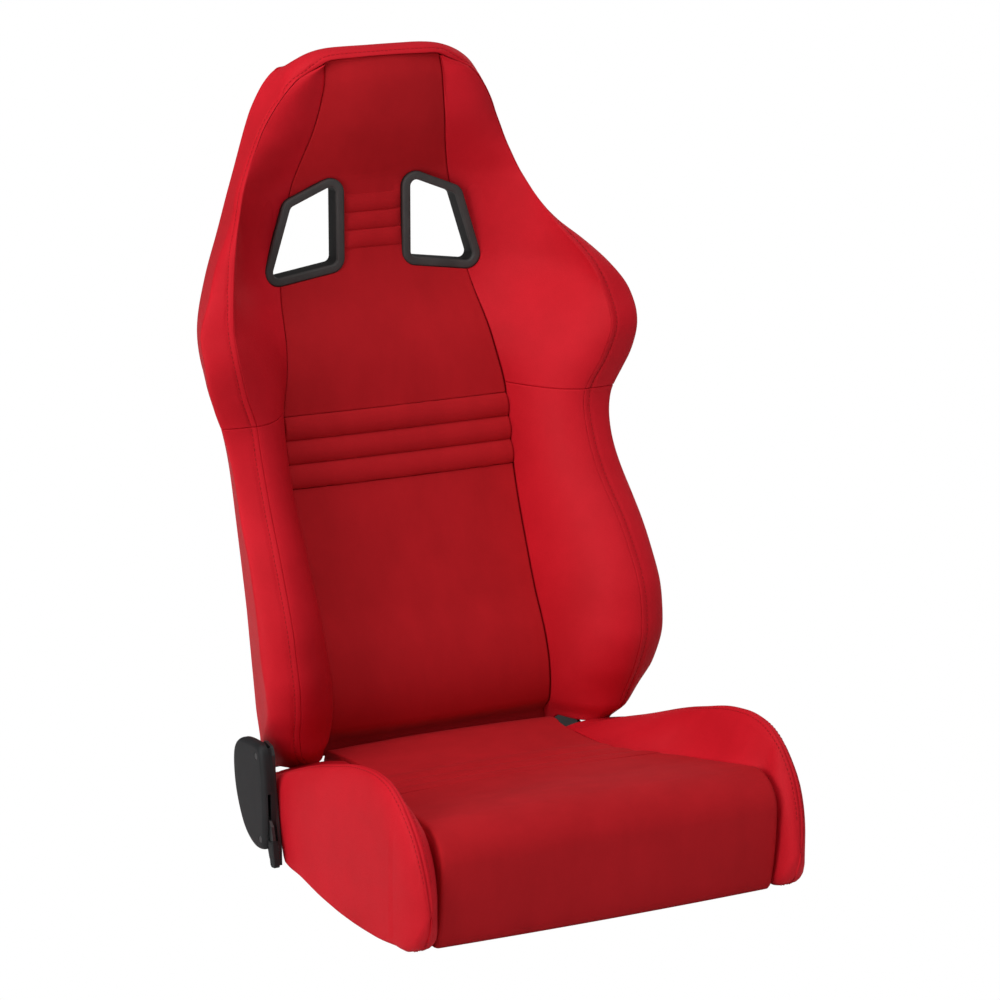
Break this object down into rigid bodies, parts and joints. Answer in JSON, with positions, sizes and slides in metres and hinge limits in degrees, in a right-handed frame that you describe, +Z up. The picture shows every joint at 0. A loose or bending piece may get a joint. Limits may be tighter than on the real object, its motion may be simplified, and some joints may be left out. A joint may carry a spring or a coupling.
{
  "type": "reclining sport seat",
  "caption": "Bucket-shaped sport seat with deep side bolsters, shoulder wings, two belt slots and a reclining backrest worked by a side lever.",
  "frame": {"origin": "centre of the four rail bolts, on the underside of the rails", "axes": "+X towards the side without the lever, -Y the way the seat faces, +Z up"},
  "size_m": [0.5748, 0.6671, 0.92],
  "materials": {
    "centre_cloth": "matt suede-like cloth",
    "side_leather": "satin coated leather cloth",
    "black_plastic": "fine-grained black moulding",
    "frame_steel": "black paint, satin",
    "zinc_fastener": "zinc plated",
    "spring_steel": "dark drawn wire"
  },
  "bodies": {
    "cushion_base": {"cushion_pad": "centre_cloth", "thigh_pad": "centre_cloth", "cushion_bolster_left": "side_leather", "cushion_bolster_right": "side_leather", "rail_left": "frame_steel", "rail_right": "frame_steel", "weld_nuts": "zinc_fastener", "tube_risers": "frame_steel", "cushion_front_tube": "frame_steel", "cushion_rear_tube": "frame_steel", "bolster_pan_left": "frame_steel", "bolster_pan_right": "frame_steel", "cushion_springs": "spring_steel", "lower_bracket_left": "frame_steel", "lower_bracket_right": "frame_steel", "bracket_bolts": "zinc_fastener", "pivot_bolt_left": "zinc_fastener", "pivot_bolt_right": "zinc_fastener", "recliner_cover": "black_plastic", "cover_screws": "frame_steel", "pivot_cap": "black_plastic", "lever_spring": "spring_steel"},
    "backrest": {"lumbar_pad": "centre_cloth", "waist_channel_pad": "centre_cloth", "upper_back_pad": "centre_cloth", "headrest_pad": "centre_cloth", "back_bolster_left": "side_leather", "back_bolster_right": "side_leather", "shoulder_wing_left": "side_leather", "shoulder_wing_right": "side_leather", "back_side_panel_left": "side_leather", "back_side_panel_right": "side_leather", "headrest_boxing": "side_leather", "back_panel": "side_leather", "slot_bezel_left": "black_plastic", "slot_bezel_right": "black_plastic", "slot_rear_bezel_left": "black_plastic", "slot_rear_bezel_right": "black_plastic", "back_side_tube_left": "frame_steel", "back_side_tube_right": "frame_steel", "headrest_bow": "frame_steel", "back_cross_tube": "frame_steel", "shoulder_cross_tube": "frame_steel", "back_springs": "spring_steel", "back_side_plate_left": "frame_steel", "back_side_plate_right": "frame_steel", "recline_arm_left": "frame_steel", "recline_arm_right": "frame_steel", "arm_bolts": "zinc_fastener", "recline_spring_left": "spring_steel", "recline_spring_right": "spring_steel"},
    "release": {"release_shaft": "zinc_fastener", "pawl": "frame_steel", "release_lever": "frame_steel", "lever_grip": "black_plastic"}
  },
  "joints": [
    {"name": "recline", "type": "hinge", "parent": "cushion_base", "child": "backrest", "pos_m": [0, 0.128, 0.072], "axis": [-1, 0, 0], "range_deg": [-8, 40]},
    {"name": "lever_release", "type": "hinge", "parent": "cushion_base", "child": "release", "pos_m": [0, 0.095, 0.059], "axis": [-1, 0, 0], "range_deg": [0, 25], "stiffness_Nm_per_rad": 0.6, "springref_deg": -22.92}
  ]
}
